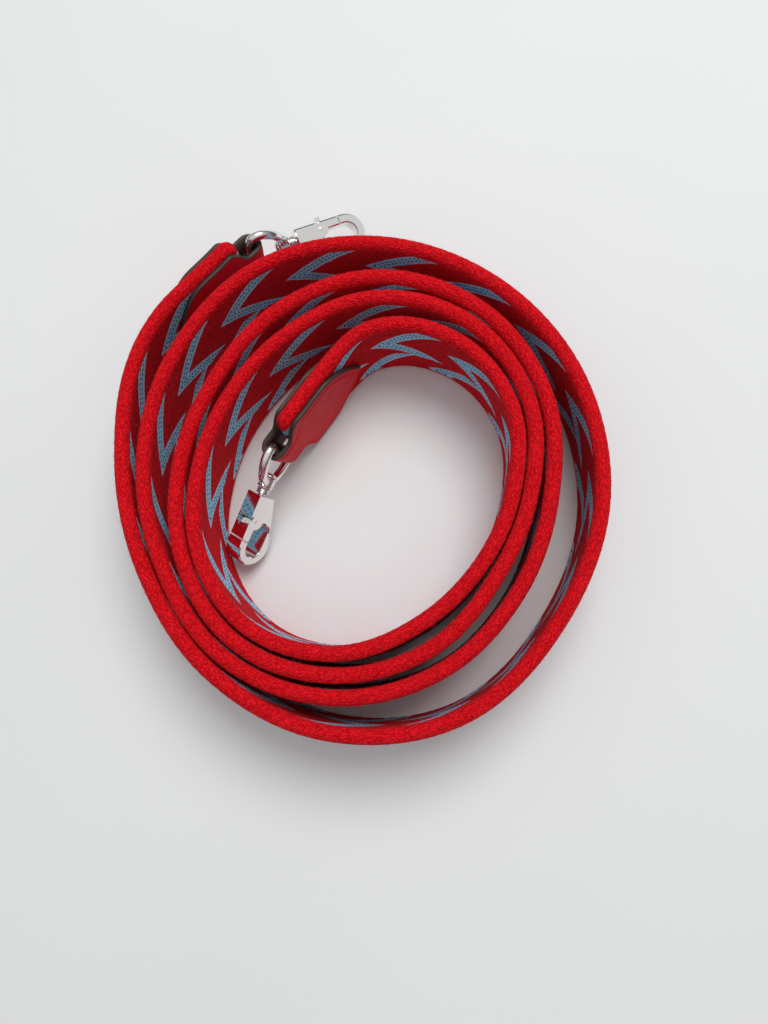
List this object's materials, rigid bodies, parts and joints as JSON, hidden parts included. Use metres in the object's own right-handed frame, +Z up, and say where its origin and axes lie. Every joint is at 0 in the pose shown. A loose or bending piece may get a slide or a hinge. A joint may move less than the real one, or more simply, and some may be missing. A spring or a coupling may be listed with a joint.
{
  "type": "training leash",
  "caption": "Flat woven leash coiled on its edge, with a folded leather tab, a swivel eye and a small snap hook at each end.",
  "frame": {"origin": "on the resting plane, under the middle of the bounding box", "axes": "+Z up, across the strap's width; +Y from the coil's middle towards the outer hook's side; +X to the right of it"},
  "size_m": [0.1082, 0.1262, 0.025],
  "materials": {
    "webbing": "dense woven, with a knitted edge and a printed-looking blue chevron pattern",
    "leather": "glossy, with dark painted edges",
    "polished": "bright polished",
    "spring_steel": "plain wire"
  },
  "bodies": {
    "strap": {"strap_webbing": "webbing", "outer_tab_leather": "leather", "inner_tab_leather": "leather"},
    "outer_eye": {"outer_swivel_eye": "polished", "outer_swivel_pin": "polished", "outer_swivel_collar": "polished"},
    "outer_hook": {"outer_hook_body": "polished", "outer_gate_pin": "polished", "outer_gate_spring": "spring_steel"},
    "outer_gate": {"outer_hook_gate": "polished"},
    "inner_eye": {"inner_swivel_eye": "polished", "inner_swivel_pin": "polished", "inner_swivel_collar": "polished"},
    "inner_hook": {"inner_hook_body": "polished", "inner_gate_pin": "polished", "inner_gate_spring": "spring_steel"},
    "inner_gate": {"inner_hook_gate": "polished"}
  },
  "joints": [
    {"name": "outer_eye_swing", "type": "hinge", "parent": "strap", "child": "outer_eye", "pos_m": [-0.02723, 0.05055, 0.0125], "axis": [0.1135, 0.1314, 0.9848], "range_deg": [-3, 90]},
    {"name": "outer_hook_swivel", "type": "hinge", "parent": "outer_eye", "child": "outer_hook", "pos_m": [-0.01656, 0.05523, 0.01065], "axis": [0.9046, 0.3963, -0.1571], "continuous": true},
    {"name": "outer_gate_open", "type": "hinge", "parent": "outer_hook", "child": "outer_gate", "pos_m": [-0.01102, 0.05816, 0.00985], "axis": [-0.2877, 0.2954, -0.911], "range_deg": [0, 25], "stiffness_Nm_per_rad": 0.02, "springref_deg": -22.92},
    {"name": "inner_eye_swing", "type": "hinge", "parent": "strap", "child": "inner_eye", "pos_m": [-0.01863, 0.00215, 0.0125], "axis": [-0.1291, -0.163, 0.9781], "range_deg": [0, 60]},
    {"name": "inner_hook_swivel", "type": "hinge", "parent": "inner_eye", "child": "inner_hook", "pos_m": [-0.02365, -0.00826, 0.0101], "axis": [-0.4251, -0.8821, -0.2031], "range_deg": [-10, 100]},
    {"name": "inner_gate_open", "type": "hinge", "parent": "inner_hook", "child": "inner_gate", "pos_m": [-0.02657, -0.0138, 0.00926], "axis": [0.7659, -0.4701, 0.4386], "range_deg": [0, 25], "stiffness_Nm_per_rad": 0.02, "springref_deg": -22.92}
  ]
}
